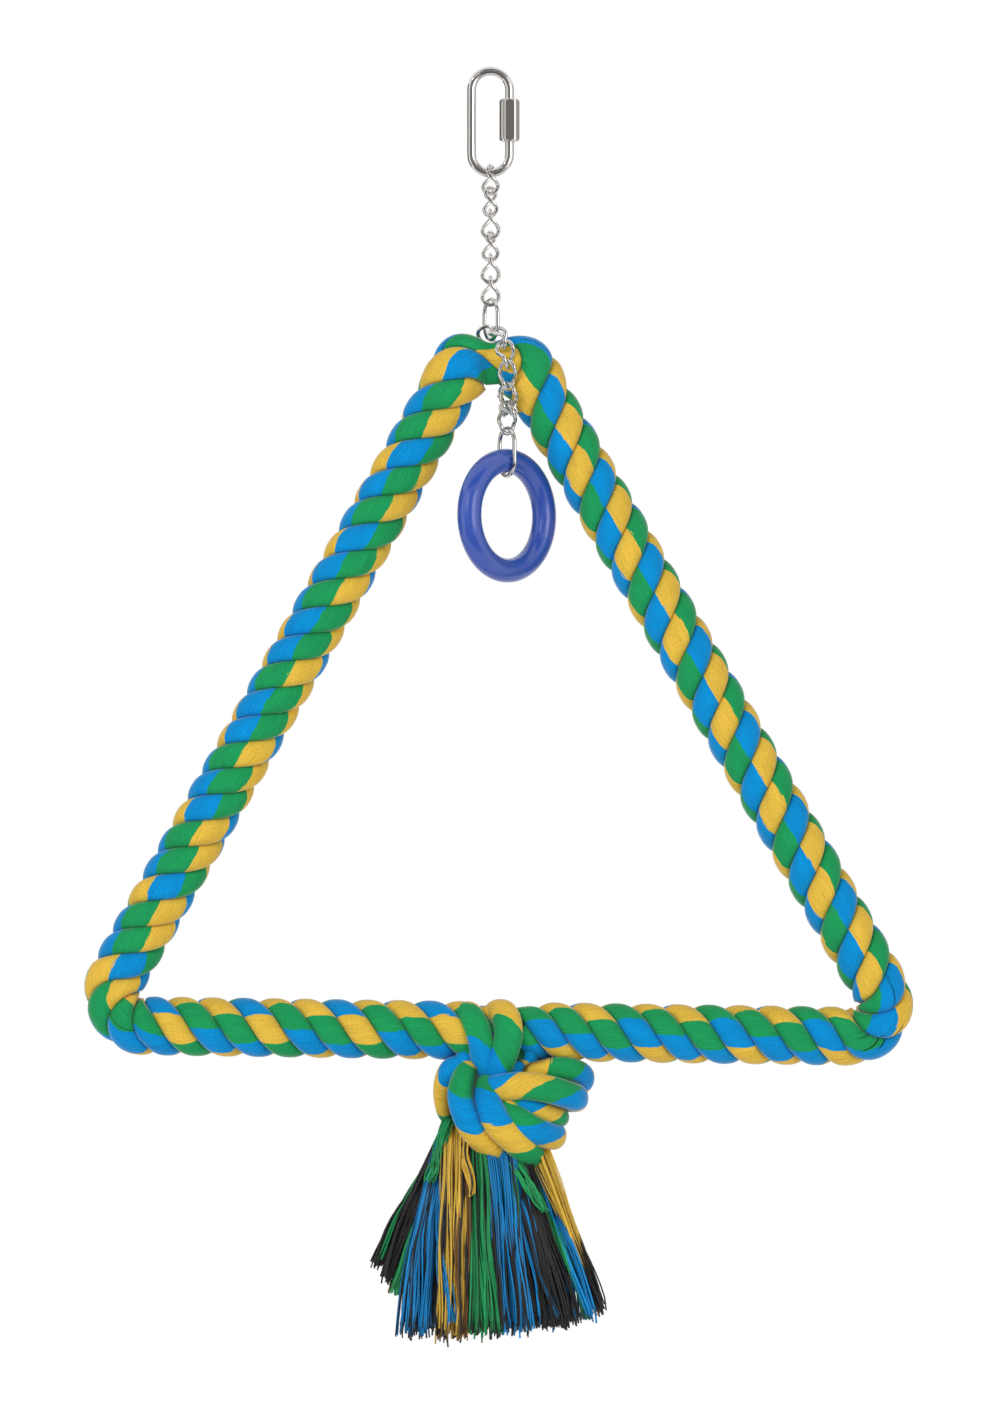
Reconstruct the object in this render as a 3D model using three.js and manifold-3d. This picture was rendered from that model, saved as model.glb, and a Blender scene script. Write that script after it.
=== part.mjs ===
// Bird rope swing: a stiff triangle of cotton rope on a short chain, with a toy ring and a tassel.
// Millimetres, +X right, +Y away from the viewer, +Z up. The origin is the hanging point, inside the
// top bend of the quick link.
import * as THREE from 'three';
import { mergeVertices } from 'three/addons/utils/BufferGeometryUtils.js';
import Module from 'manifold-3d';

const wasm = await Module();
wasm.setup();

const degrees = Math.PI / 180;
const up = new THREE.Vector3(0, 0, 1);
const back = new THREE.Vector3(0, 1, 0);
const right = new THREE.Vector3(1, 0, 0);

// Driving dimensions
const clearance = 0.3;

const quickLinkHeight = 40.4;
const quickLinkWidth = 17.1;
const quickLinkRod = 3.2;
const sleeveLength = 15.6;
const sleeveTop = -8.5;
const sleeveFlats = 6.7;
const sleeveTurn = 6.7 * degrees;
const sleeveStubEnd = -9.6;
const sleeveThreadEnd = -12.9;

const chainWire = 1.45;
const chainLinkLength = 11.5;
const chainLinkWidth = 7.3;
const chainTwist = 90 * degrees;
const chainGap = 0.5;
const chainTurns = [-67, -83, -50, -70, -45, -45];

const ovalWire = 1.5;
const ovalWidth = 13;
const hangerLength = 16.2;
const hangerShift = 0.2;
const hangerYaw = 25 * degrees;
const hangerHookAngle = 60 * degrees;
const ringLinkLength = 19;
const ringLinkTurn = -62 * degrees;

const slingTurns = [50, 27, 10, 0, 0, 0, -5, -12, -25, -52];
const slingHooks = [
  new THREE.Vector3(4.9, -9.2, -98.2),
  new THREE.Vector3(6, -12.2, -105.6),
  new THREE.Vector3(6.4, -12, -113.7),
  new THREE.Vector3(7, -9.8, -121.5),
  new THREE.Vector3(6.8, -1.8, -122.1),
  new THREE.Vector3(6.2, 5.8, -119.4),
  new THREE.Vector3(5.3, 10, -112.6),
  new THREE.Vector3(3.9, 11.2, -104.7),
  new THREE.Vector3(1.9, 7.9, -97.5),
];
const slingGroove = 8.8;
const dropLinkAt = 4;
const dropLinkShift = 1.45;
const dropLinkLift = 0.3;

const ringOuter = 48.5;
const ringTube = 8.8;
const ringYaw = 47 * degrees;

const ropeDiameter = 20.8;
const apex = new THREE.Vector3(0.65, 0, -87.4);
const leftCorner = new THREE.Vector3(-145.6, 0, -345.2);
const rightCorner = new THREE.Vector3(151.8, 0, -349.6);
const apexBend = 18.1;
const cornerBend = 12;
const squeezeCentre = new THREE.Vector3(4.5, 0, -106);
const squeezedHeight = 15.4;
const squeezedDepth = 15.6;
const squeezeReach = 18;
const leftRopeEnd = -12;
const rightRopeEnd = 22;
const coreWire = 3;
const coreBore = 3.8;
const coreSetback = 6;
const boreOverrun = 1;

const knotRope = 18;
const knotBend = 11;
const knotFoot = -386;
const leftEndTurn = 8;
const rightEndTurn = 17;
const rightEndBehind = new THREE.Vector3(3, 9, -348.2);
const wrapCentre = new THREE.Vector3(5, 0, -376);
const wrapRadius = 14.5;
const wrapTilt = 26 * degrees;
const lobeCentre = new THREE.Vector3(18, 0, -367);
const lobeRadius = 12;
const lobeTilt = -35 * degrees;
const tasselTop = -378;
const tasselHem = -455;
const tasselLocks = 16;
const lockRidge = 0.07;
const hemWaves = [
  { depth: 4, count: 3, turn: 1 },
  { depth: 3, count: 7, turn: 0 },
];

// Facets
const wireSides = 6;
const linkSteps = 30;
const rodSides = 10;
const rodSteps = 40;
const sleeveSides = 24;
const ringSides = 12;
const ringSteps = 36;
const ropeSides = 14;
const coreSides = 6;
const grooveSides = 10;
const grooveSteps = 16;
const bendSteps = 10;
const runSteps = 6;
const knotSides = 10;
const endSteps = 16;
const turnSteps = 24;
const sidesPerLock = 3;

// Materials
const steel = new THREE.MeshStandardMaterial({ color: 0xc9cacc, metalness: 1, roughness: 0.18 });
const wireSteel = new THREE.MeshStandardMaterial({ color: 0x8d9094, metalness: 1, roughness: 0.4 });
const bluePlastic = new THREE.MeshStandardMaterial({ color: 0x2c3f9f, metalness: 0, roughness: 0.22 });
const cotton = new THREE.MeshStandardMaterial({ color: 0x2e9c86, metalness: 0, roughness: 0.95 });
const knotCotton = new THREE.MeshStandardMaterial({ color: 0x2f93b8, metalness: 0, roughness: 0.95 });
const yarn = new THREE.MeshStandardMaterial({ color: 0x2b6a55, metalness: 0, roughness: 1 });

// Solids: joining and cutting closed meshes
function toSolid(geometry) {
  const bare = geometry.clone();
  bare.deleteAttribute('normal');
  bare.deleteAttribute('uv');
  const merged = mergeVertices(bare, 1e-4);
  const mesh = new wasm.Mesh({
    numProp: 3,
    vertProperties: new Float32Array(merged.attributes.position.array),
    triVerts: new Uint32Array(merged.index.array),
  });
  return new wasm.Manifold(mesh);
}

function toGeometry(solid) {
  const mesh = solid.getMesh();
  const geometry = new THREE.BufferGeometry();
  geometry.setAttribute('position', new THREE.BufferAttribute(mesh.vertProperties, 3));
  geometry.setIndex(new THREE.BufferAttribute(mesh.triVerts, 1));
  geometry.computeVertexNormals();
  return geometry;
}

// A closed skin over a row of rings with equal numbers of points, with a cap on each end.
function loft(rings) {
  const sides = rings[0].length;
  const points = rings.flat();
  const index = [];
  for (let ring = 0; ring + 1 < rings.length; ring++) {
    for (let side = 0; side < sides; side++) {
      const next = (side + 1) % sides;
      const a = ring * sides + side;
      const b = ring * sides + next;
      index.push(a, b, b + sides);
      index.push(a, b + sides, a + sides);
    }
  }
  const ends = [rings[0], rings[rings.length - 1]];
  ends.forEach((ring, end) => {
    const middle = new THREE.Vector3();
    ring.forEach((point) => middle.addScaledVector(point, 1 / sides));
    const hub = points.push(middle) - 1;
    const first = end === 0 ? 0 : (rings.length - 1) * sides;
    for (let side = 0; side < sides; side++) {
      const a = first + side;
      const b = first + ((side + 1) % sides);
      index.push(...(end === 0 ? [hub, b, a] : [hub, a, b]));
    }
  });
  const geometry = new THREE.BufferGeometry().setFromPoints(points);
  geometry.setIndex(index);
  geometry.computeVertexNormals();
  return geometry;
}

function circle(radius, sides) {
  const outline = new THREE.Shape();
  for (let side = 0; side < sides; side++) {
    const angle = (2 * Math.PI * side) / sides;
    const place = [radius * Math.cos(angle), radius * Math.sin(angle)];
    if (side === 0) outline.moveTo(...place);
    else outline.lineTo(...place);
  }
  return outline;
}

function rodAlong(curve, diameter, sides, steps) {
  const settings = { extrudePath: curve, steps, bevelEnabled: false };
  return new THREE.ExtrudeGeometry(circle(diameter / 2, sides), settings);
}

// Routes: straight runs joined by round bends
class Bend extends THREE.Curve {
  constructor(centre, start, sweepTo, angle) {
    super();
    Object.assign(this, { centre, start, sweepTo, angle });
  }

  getPoint(t, target = new THREE.Vector3()) {
    const turned = this.angle * t;
    return target
      .copy(this.centre)
      .addScaledVector(this.start, Math.cos(turned))
      .addScaledVector(this.sweepTo, Math.sin(turned));
  }
}

function roundedRoute(places, bends) {
  const route = new THREE.CurvePath();
  let from = places[0];
  bends.forEach((radius, i) => {
    const corner = places[i + 1];
    const arriving = corner.clone().sub(places[i]).normalize();
    const leaving = places[i + 2].clone().sub(corner).normalize();
    const angle = arriving.angleTo(leaving);
    const reach = radius * Math.tan(angle / 2);
    const enter = corner.clone().addScaledVector(arriving, -reach);
    const exit = corner.clone().addScaledVector(leaving, reach);
    const inward = leaving.clone().addScaledVector(arriving, -leaving.dot(arriving)).normalize();
    if (from.distanceTo(enter) > 1e-6) route.add(new THREE.LineCurve3(from, enter));
    const centre = enter.clone().addScaledVector(inward, radius);
    const start = inward.clone().multiplyScalar(-radius);
    route.add(new Bend(centre, start, arriving.clone().multiplyScalar(radius), angle));
    from = exit;
  });
  route.add(new THREE.LineCurve3(from, places[places.length - 1]));
  return route;
}

function named(name, geometry, material) {
  const mesh = new THREE.Mesh(geometry, material);
  mesh.name = name;
  return mesh;
}

// Wire links: a long oval whose two ends are turned against each other about its length
class WireLoop extends THREE.Curve {
  constructor(length, width, wire, twist) {
    super();
    this.bend = (width - wire) / 2;
    this.straight = (length - wire) / 2 - this.bend;
    this.twistReach = this.straight + this.bend / 3;
    this.twist = twist;
    this.arcLengthDivisions = 400;
  }

  getPoint(t, target = new THREE.Vector3()) {
    const arc = Math.PI * this.bend;
    const run = 2 * this.straight;
    let along = (t % 1) * 2 * (arc + run);
    const half = along < arc + run ? 1 : -1;
    if (half < 0) along -= arc + run;
    const turn = Math.min(along, arc) / this.bend;
    const across = half * this.bend * Math.cos(turn);
    const climb = half * (this.straight + this.bend * Math.sin(turn) - Math.max(0, along - arc));
    const reach = THREE.MathUtils.clamp(climb / this.twistReach, -1, 1);
    const angle = (-this.twist / 2) * Math.sin((Math.PI / 2) * reach);
    return target.set(across * Math.cos(angle), across * Math.sin(angle), climb);
  }
}

const twistLoop = new WireLoop(chainLinkLength, chainLinkWidth, chainWire, chainTwist);
const twistLink = new THREE.TubeGeometry(twistLoop, linkSteps, chainWire / 2, wireSides, true);
const linkReach = (chainLinkLength - chainWire) / 2;
const linkPitch = 2 * linkReach - chainWire - chainGap;
const hookHalf = (chainWire + chainGap) / 2;
const ovalHook = (chainWire + ovalWire) / 2 + chainGap;

// Stands a link with its length along `axis` and the width of its waist along `side`.
function placeLink(mesh, centre, axis, side) {
  const z = axis.clone().normalize();
  const x = side.clone().addScaledVector(z, -side.dot(z)).normalize();
  const y = new THREE.Vector3().crossVectors(z, x);
  mesh.quaternion.setFromRotationMatrix(new THREE.Matrix4().makeBasis(x, y, z));
  mesh.position.copy(centre);
  return mesh;
}

function turned(angle) {
  return new THREE.Vector3(Math.cos(angle), Math.sin(angle), 0);
}

function ovalLink(name, length) {
  const loop = new WireLoop(length, ovalWidth, ovalWire, 0);
  return named(name, new THREE.TubeGeometry(loop, linkSteps, ovalWire / 2, wireSides, true), steel);
}

// Quick link: an open oval of rod, closed by a hexagonal sleeve
function quickLink() {
  const group = new THREE.Group();
  const bend = (quickLinkWidth - quickLinkRod) / 2;
  const top = quickLinkRod / 2;
  const bottom = quickLinkRod - quickLinkHeight + quickLinkRod / 2;
  const places = [
    new THREE.Vector3(bend, 0, sleeveStubEnd),
    new THREE.Vector3(bend, 0, top),
    new THREE.Vector3(-bend, 0, top),
    new THREE.Vector3(-bend, 0, bottom),
    new THREE.Vector3(bend, 0, bottom),
    new THREE.Vector3(bend, 0, sleeveThreadEnd),
  ];
  const rod = roundedRoute(places, [bend, bend, bend, bend]);
  group.add(named('quick_link_body', rodAlong(rod, quickLinkRod, rodSides, rodSteps), steel));

  const corner = sleeveFlats / Math.sqrt(3);
  const outline = circle(corner, 6);
  outline.holes.push(circle(quickLinkRod / 2 + clearance, sleeveSides));
  const prism = new THREE.ExtrudeGeometry(outline, { depth: sleeveLength, bevelEnabled: false });
  const chamfer = corner - sleeveFlats / 2;
  const profile = [
    new THREE.Vector2(0, 0),
    new THREE.Vector2(sleeveFlats / 2 - chamfer / 2, 0),
    new THREE.Vector2(corner + chamfer, 2 * chamfer),
    new THREE.Vector2(corner + chamfer, sleeveLength - 2 * chamfer),
    new THREE.Vector2(sleeveFlats / 2 - chamfer / 2, sleeveLength),
    new THREE.Vector2(0, sleeveLength),
  ];
  const spindle = new THREE.LatheGeometry(profile, sleeveSides).rotateX(Math.PI / 2);
  const sleeve = named('quick_link_sleeve', toGeometry(toSolid(prism).intersect(toSolid(spindle))), steel);
  sleeve.position.set(bend, 0, sleeveTop - sleeveLength);
  sleeve.rotation.z = sleeveTurn;
  group.add(sleeve);
  return group;
}

// Upper chain: six twisted links and the plain hanger link
const chainTop = quickLinkRod - quickLinkHeight + quickLinkRod + chainGap + chainWire / 2;
const hangerTop = chainTop - chainTurns.length * linkPitch - chainWire - chainGap + ovalHook;
const hangerHalf = (hangerLength - ovalWire) / 2;
const hangerCentre = new THREE.Vector3(hangerShift, 0, hangerTop - hangerHalf);
const hangerForward = turned(hangerYaw - Math.PI / 2);

function upperChain() {
  const group = new THREE.Group();
  chainTurns.forEach((turn, i) => {
    const centre = new THREE.Vector3(0, 0, chainTop - linkReach - i * linkPitch);
    const link = named(`chain_link_${i + 1}`, twistLink, steel);
    group.add(placeLink(link, centre, up, turned(turn * degrees)));
  });
  group.add(placeLink(ovalLink('hanger_link', hangerLength), hangerCentre, up, hangerForward));
  return group;
}

// Sling: a loop of twisted links round the rope, both of its ends on the hanger link
function hangerHook(side) {
  const bend = (ovalWidth - ovalWire) / 2;
  const drop = bend * Math.cos(hangerHookAngle) - bend + hangerHalf;
  return hangerCentre
    .clone()
    .addScaledVector(hangerForward, side * bend * Math.sin(hangerHookAngle))
    .addScaledVector(up, -drop);
}

// The direction to the right across a sling link, turned about the link's length.
function acrossSlingLink(axis, angle) {
  const across = right.clone().addScaledVector(axis, -right.dot(axis)).normalize();
  return across.applyAxisAngle(axis, angle);
}

// The direction across the lower loop of the sling link that the drop link shares.
function sharedLoopAcross() {
  const axis = slingHooks[dropLinkAt - 2].clone().sub(slingHooks[dropLinkAt - 1]).normalize();
  return acrossSlingLink(axis, slingTurns[dropLinkAt - 1] * degrees + chainTwist / 2);
}

const sharedAcross = sharedLoopAcross();
const dropHook = slingHooks[dropLinkAt - 1]
  .clone()
  .addScaledVector(sharedAcross, -dropLinkShift)
  .addScaledVector(up, dropLinkLift);

function sling() {
  const group = new THREE.Group();
  const places = [hangerHook(1), ...slingHooks, hangerHook(-1)];
  slingTurns.forEach((turn, i) => {
    const from = places[i].clone();
    const to = places[i + 1];
    if (i === dropLinkAt) from.addScaledVector(sharedAcross, dropLinkShift);
    const axis = from.clone().sub(to).normalize();
    const centre = from.clone().add(to).multiplyScalar(0.5);
    if (i === 0) centre.copy(to).addScaledVector(axis, linkReach - hookHalf);
    if (i === slingTurns.length - 1) centre.copy(from).addScaledVector(axis, hookHalf - linkReach);
    const link = named(`sling_link_${i + 1}`, twistLink, steel);
    group.add(placeLink(link, centre, axis, acrossSlingLink(axis, turn * degrees)));
  });
  return group;
}

// Ring on its own short chain
function ringChain() {
  const group = new THREE.Group();
  const dropCentre = dropHook.clone().addScaledVector(up, hookHalf - linkReach);
  group.add(placeLink(named('drop_link', twistLink, steel), dropCentre, up, right));

  const linkTop = dropCentre.z - linkReach + ovalHook;
  const linkHalf = (ringLinkLength - ovalWire) / 2;
  const linkCentre = dropCentre.clone().setZ(linkTop - linkHalf);
  group.add(placeLink(ovalLink('ring_link', ringLinkLength), linkCentre, up, turned(ringLinkTurn)));

  const tubeCentre = linkTop - 2 * linkHalf + ovalWire / 2 + chainGap + ringTube / 2;
  const ringRadius = (ringOuter - ringTube) / 2;
  const torus = new THREE.TorusGeometry(ringRadius, ringTube / 2, ringSides, ringSteps).rotateX(Math.PI / 2);
  const ring = named('ring', torus, bluePlastic);
  ring.position.copy(linkCentre).setZ(tubeCentre - ringRadius);
  ring.rotation.z = ringYaw;
  group.add(ring);
  return group;
}

// Rope: a triangle with round bends, squeezed where the sling goes over its top
function onBottomBar(x) {
  const along = (x - leftCorner.x) / (rightCorner.x - leftCorner.x);
  return leftCorner.clone().lerp(rightCorner, along);
}

function ropeRoute(setback) {
  const places = [
    onBottomBar(leftRopeEnd - setback),
    leftCorner,
    apex,
    rightCorner,
    onBottomBar(rightRopeEnd + setback),
  ];
  return roundedRoute(places, [cornerBend, apexBend, cornerBend]);
}

function routeRings(route, sides, halfHeightAt, halfDepthAt) {
  const rings = [];
  route.curves.forEach((curve, i) => {
    const steps = curve instanceof Bend ? bendSteps : runSteps;
    for (let step = i === 0 ? 0 : 1; step <= steps; step++) {
      const place = curve.getPoint(step / steps);
      const across = new THREE.Vector3().crossVectors(back, curve.getTangent(step / steps));
      const ring = [];
      for (let side = 0; side < sides; side++) {
        const angle = (2 * Math.PI * side) / sides;
        const high = halfHeightAt(place) * Math.cos(angle);
        const deep = halfDepthAt(place) * Math.sin(angle);
        ring.push(place.clone().addScaledVector(across, high).addScaledVector(back, deep));
      }
      rings.push(ring);
    }
  });
  return rings;
}

function squeezed(place, narrow) {
  const share = THREE.MathUtils.smoothstep(place.distanceTo(squeezeCentre), 0, squeezeReach);
  return THREE.MathUtils.lerp(narrow / 2, ropeDiameter / 2, share);
}

// Where the sling's links bite into the underside and back of the rope.
function slingGrooveSolid() {
  const line = new THREE.CatmullRomCurve3(slingHooks.slice(dropLinkAt - 1));
  return toSolid(rodAlong(line, slingGroove, grooveSides, grooveSteps));
}

function ropeFrame() {
  const group = new THREE.Group();
  const outer = routeRings(
    ropeRoute(0),
    ropeSides,
    (place) => squeezed(place, squeezedHeight),
    (place) => squeezed(place, squeezedDepth),
  );
  const bore = routeRings(ropeRoute(-boreOverrun), coreSides, () => coreBore / 2, () => coreBore / 2);
  const hollow = toSolid(loft(outer)).subtract(toSolid(loft(bore))).subtract(slingGrooveSolid());
  group.add(named('rope', toGeometry(hollow.subtract(knotSolid(clearance))), cotton));

  const core = routeRings(ropeRoute(coreSetback), coreSides, () => coreWire / 2, () => coreWire / 2);
  group.add(named('core_wire', loft(core), wireSteel));
  return group;
}

// Knot: both ends turn down through two turns of rope, one across the front and one that rises to the
// right. Drawn tight, the turns press into each other and make one body.
function ropeEnd(places, grow) {
  const last = places[places.length - 1];
  const foot = new THREE.Vector3(last.x, last.y, knotFoot - grow);
  const bends = places.slice(1).map(() => knotBend);
  const route = roundedRoute([...places, foot], bends);
  return toSolid(rodAlong(route, knotRope + 2 * grow, knotSides, endSteps));
}

function ropeTurn(centre, radius, tilt, grow) {
  const ring = new THREE.TorusGeometry(radius, knotRope / 2 + grow, knotSides, turnSteps);
  ring.rotateX(tilt.x).rotateY(tilt.y).translate(centre.x, centre.y, centre.z);
  return toSolid(ring);
}

function knotSolid(grow) {
  const left = ropeEnd([onBottomBar(leftRopeEnd + clearance), onBottomBar(leftEndTurn)], grow);
  const rightStart = onBottomBar(rightRopeEnd - clearance);
  const right = ropeEnd([rightStart, onBottomBar(rightEndTurn), rightEndBehind], grow);
  const wrap = ropeTurn(wrapCentre, wrapRadius, { x: wrapTilt, y: 0 }, grow);
  const lobe = ropeTurn(lobeCentre, lobeRadius, { x: 0, y: lobeTilt }, grow);
  return left.add(right).add(wrap).add(lobe);
}

// Tassel: combed-out ends that flare from the knot, ridged where the yarns gather into locks
const tasselRows = [
  { at: 0, middle: 4, halfWidth: 19, halfDepth: 16 },
  { at: 0.2, middle: -1, halfWidth: 22.5, halfDepth: 19 },
  { at: 0.4, middle: -2.5, halfWidth: 28.5, halfDepth: 23 },
  { at: 0.68, middle: -4, halfWidth: 36, halfDepth: 28 },
  { at: 0.86, middle: 1, halfWidth: 37, halfDepth: 30 },
  { at: 1, middle: 0, halfWidth: 35, halfDepth: 28 },
];

function tasselSolid() {
  const sides = sidesPerLock * tasselLocks;
  const rings = tasselRows.map((row) => {
    const ring = [];
    for (let side = 0; side < sides; side++) {
      const angle = (2 * Math.PI * side) / sides;
      const ridge = 1 + lockRidge * row.at * Math.cos(tasselLocks * angle);
      let uneven = 0;
      hemWaves.forEach((wave) => {
        uneven += wave.depth * Math.cos(wave.count * angle + wave.turn);
      });
      ring.push(
        new THREE.Vector3(
          row.middle + row.halfWidth * ridge * Math.cos(angle),
          row.halfDepth * ridge * Math.sin(angle),
          THREE.MathUtils.lerp(tasselTop, tasselHem, row.at) + uneven * row.at ** 4,
        ),
      );
    }
    return ring.reverse();
  });
  return toSolid(loft(rings));
}

function knotAndTassel() {
  const group = new THREE.Group();
  group.add(named('knot', toGeometry(knotSolid(0)), knotCotton));
  group.add(named('tassel', toGeometry(tasselSolid().subtract(knotSolid(clearance))), yarn));
  return group;
}

const swing = new THREE.Group();
swing.add(quickLink(), upperChain(), sling(), ringChain(), ropeFrame(), knotAndTassel());

export default swing;
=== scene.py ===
# Bird rope swing: smooth links, laid rope, tied knot, combed tassel and glossy ring around the frame.
# Lengths are in millimetres, and build_piece() turns them into metres. The stage is in metres.
import math

import bpy
import numpy as np
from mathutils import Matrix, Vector


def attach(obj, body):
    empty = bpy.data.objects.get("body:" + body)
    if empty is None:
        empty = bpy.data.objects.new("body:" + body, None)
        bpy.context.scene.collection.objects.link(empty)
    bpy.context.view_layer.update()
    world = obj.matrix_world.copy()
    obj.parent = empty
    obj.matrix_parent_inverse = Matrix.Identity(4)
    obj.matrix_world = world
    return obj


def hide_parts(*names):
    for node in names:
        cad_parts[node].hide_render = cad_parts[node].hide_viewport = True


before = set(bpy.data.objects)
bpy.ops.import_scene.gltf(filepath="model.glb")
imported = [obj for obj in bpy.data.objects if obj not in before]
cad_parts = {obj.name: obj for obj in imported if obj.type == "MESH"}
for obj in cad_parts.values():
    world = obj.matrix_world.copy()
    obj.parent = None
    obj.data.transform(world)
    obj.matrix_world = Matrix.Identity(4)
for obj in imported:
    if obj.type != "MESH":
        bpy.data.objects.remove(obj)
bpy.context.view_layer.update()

MM = 0.001
UP = np.array([0.0, 0.0, 1.0])
FRONT = np.array([0.0, -1.0, 0.0])
RIGHT = np.array([1.0, 0.0, 0.0])

# Driving dimensions. Places, pitches and turns are the frame's. Sizes are within 0.2 mm of it, with
# LINK_EASE taken off the wire of the chain so that its links clear each other at the joints' limits.
QUICK_LINK_HEIGHT = 40.4
QUICK_LINK_WIDTH = 17.1
QUICK_LINK_ROD = 3.3
SLEEVE_LENGTH = 15.6
SLEEVE_TOP = -8.5
SLEEVE_FLATS = 6.7
SLEEVE_TURN = math.radians(6.7)
SLEEVE_BORE = 1.85
SLEEVE_CORNER_CUT = 0.16
SLEEVE_ROW_DEPTHS = [0.0, 0.05, 0.25, 0.6, 1.0, 1.6, 4.0]
SLEEVE_CONE_INSET = 0.25
SLEEVE_CONE_SLOPE = 0.9
SLEEVE_LIP = 0.05
SLEEVE_SHARP_ANGLE = math.radians(28)
STUB_END = -9.6
THREAD_END = -12.9

LINK_WIRE = 1.6
LINK_WIDTH = 7.4
LINK_TWIST = math.radians(90)
LINK_PITCH = 8.1
LINK_SLACK = 0.35
LINK_EASE = 0.12
CAD_LINK_REACH = 5.025
CHAIN_TOP = -32.775
CHAIN_TURNS = [-67, -83, -50, -70, -45, -45]
HOOK_HALF = 0.975

OVAL_WIRE = 1.6
OVAL_WIDTH = 13.0
HANGER_CENTRE = np.array([0.2, 0.0, -88.7])
HANGER_LENGTH = 16.1
HANGER_BEND = 5.75
HANGER_DROP = 4.475
HANGER_YAW = math.radians(25)
HANGER_HOOK_ANGLE = math.radians(60)
RING_LINK_CENTRE = np.array([5.977, -10.766, -137.401])
RING_LINK_LENGTH = 18.8
RING_LINK_TURN = math.radians(-62)

SLING_TURNS = [50, 27, 10, 0, 0, 0, -5, -12, -25, -52]
SLING_HOOKS = np.array([
    (4.9, -9.2, -98.2),
    (6.0, -12.2, -105.6),
    (6.4, -12.0, -113.7),
    (7.0, -9.8, -121.5),
    (6.8, -1.8, -122.1),
    (6.2, 5.8, -119.4),
    (5.3, 10.0, -112.6),
    (3.9, 11.2, -104.7),
    (1.9, 7.9, -97.5),
])
DROP_LINK_AT = 4
DROP_LINK_SHIFT = 1.45
DROP_LINK_LIFT = 0.3

RING_CENTRE = np.array([5.977, -10.766, -160.351])
RING_RADIUS = 19.85
RING_TUBE = 4.4
RING_YAW = math.radians(47)

# Route of the rope: the frame's corners, with two shoulders in place of its one bend at the apex,
# pinched under the sling, dented under the hanger link and swollen beside them
LEFT_CORNER = np.array([-145.6, 0.0, -345.2])
LEFT_SHOULDER = np.array([-8.8, 0.0, -102.5])
RIGHT_SHOULDER = np.array([9.8, 0.0, -101.3])
RIGHT_CORNER = np.array([151.8, 0.0, -349.6])
SHOULDER_BEND = 12.0
CORNER_BEND = 12.0
PINCH_CENTRE = np.array([2.0, 0.0, -103.2])
PINCH_DEPTH = 0.44
PINCH_REACH = 6.6
DENT_CENTRE = np.array([-1.8, 0.0, -102.2])
DENT_DEPTH = 0.16
DENT_REACH = 4.0
SWELL = 0.14
SWELL_AT = 12.5
SWELL_REACH = 6.0
ROPE_LEFT_END = 3.0
ROPE_RIGHT_END = 9.0
END_TAPER = 14.0
END_SCALE = 0.82
STRAIN_SPREAD = 14.0

# Lay of the rope
STRAND_HELIX = 6.1
STRAND_HALF_GIRTH = 7.3
STRAND_HALF_DEPTH = 4.65
STRAND_ROUNDNESS = 2.25
USUAL_LAY = 33.9
CROSSING_LEFT = -103.6
CROSSING_RIGHT = 31.7
TONES = 3
TONES_PER_LAY = 6
ROPE_STEP = 0.9
STRAND_SIDES = 48
ROUTE_STEP = 0.25
TONE_LIFT = 60.0
GRAIN_APART = 5.0
# Painted shade: strand surfaces that lie deep in the rope's grooves are darkened in colour, from here down
CREASE_SHADE_FROM = 0.84
CREASE_SHADE_DEPTH = 0.16
STRAIN_BASE = 0.4

# How far the lay has slipped along the rope, and the dye that each strand turns to the front,
# at shares of the rope's length from the left end of its bottom bar
LAY_SHARES = [0.0, 0.14, 0.18, 0.21, 0.25, 0.30, 0.36, 0.42, 0.46, 0.48, 0.515, 0.56, 0.82, 0.87, 1.0]
LAY_SLIPS = [0.0, 0.0, -5.0, -5.6, -6.0, -7.4, -7.6, -6.5, -5.0, -3.5, 4.0, 7.0, 16.0, 11.3, 11.3]
LAY_SMOOTHING = 16.0
STRAND_TONES = [
    [0.6, 0.45, 0.95, 1.1, 0.95, 1.0, 1.12, 1.25, 0.95, 0.85, 0.45, 0.0, -0.05, -1.5, -1.5],
    [2.0, 2.0, 1.4, 1.27, 1.35, 1.8, 2.02, 2.3, 2.5, 2.66, 2.3, 2.05, 2.0, 2.64, 2.5],
    [1.5, 1.5, 2.75, 2.6, 2.28, 1.98, 1.8, 1.78, 1.5, 1.4, 1.2, 0.69, 0.69, 2.0, 2.0],
]

# Knot and tassel
KNOT_AXIS_X = 5.0
KNOT_SIDES = 32
KNOT_STEP = 0.8
KNOT_BAR_LOW = -358.0
KNOT_BAR_BLEND = 10.0
KNOT_CORE_LOW = -382.0
KNOT_CORE_HIGH = -347.5
KNOT_FLATNESS = 0.92
KNOT_ROUNDNESS = 2.2
KNOT_END_SCALE = 0.6
KNOT_END_TAPER = 6.0
KNOT_TONE_LIFT = 3.0
KNOT_GRAIN_APART = 7
# Painted shade: each knot strand is darkened in colour on its side that faces the knot's core
KNOT_SHADE_FROM = 0.25
KNOT_SHADE_DEPTH = 0.9
SLANT = 0.65
SECTOR = 12.5
TASSEL_SEED = 7
YARN_RADIUS = 0.32
YARN_SIDES = 5
YARN_RINGS = 14
YARNS_PER_CLUMP = 6
STRAY_SHARE = 0.12
LENGTH_SPREAD = 0.022
CLUMP_SWAYS = (0.8, 0.6)
YARN_SWAY = 0.35
YARN_FAN = 0.35
YARN_SCATTER_WIDE = 0.45
YARN_SCATTER_DEEP = 0.4
TIP_BLEND = 0.06
GRAIN_LENGTH = 70.0
LOCK_STEP = 0.5
BACK_LOCKS = 10
BACK_LOCK_WIDTHS = (2.2, 5.0)
BACK_LOCK_CLUMPS = 20
BACK_LOCK_TIPS = (0.5, 0.05)
BACK_SHIFT = 2
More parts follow.
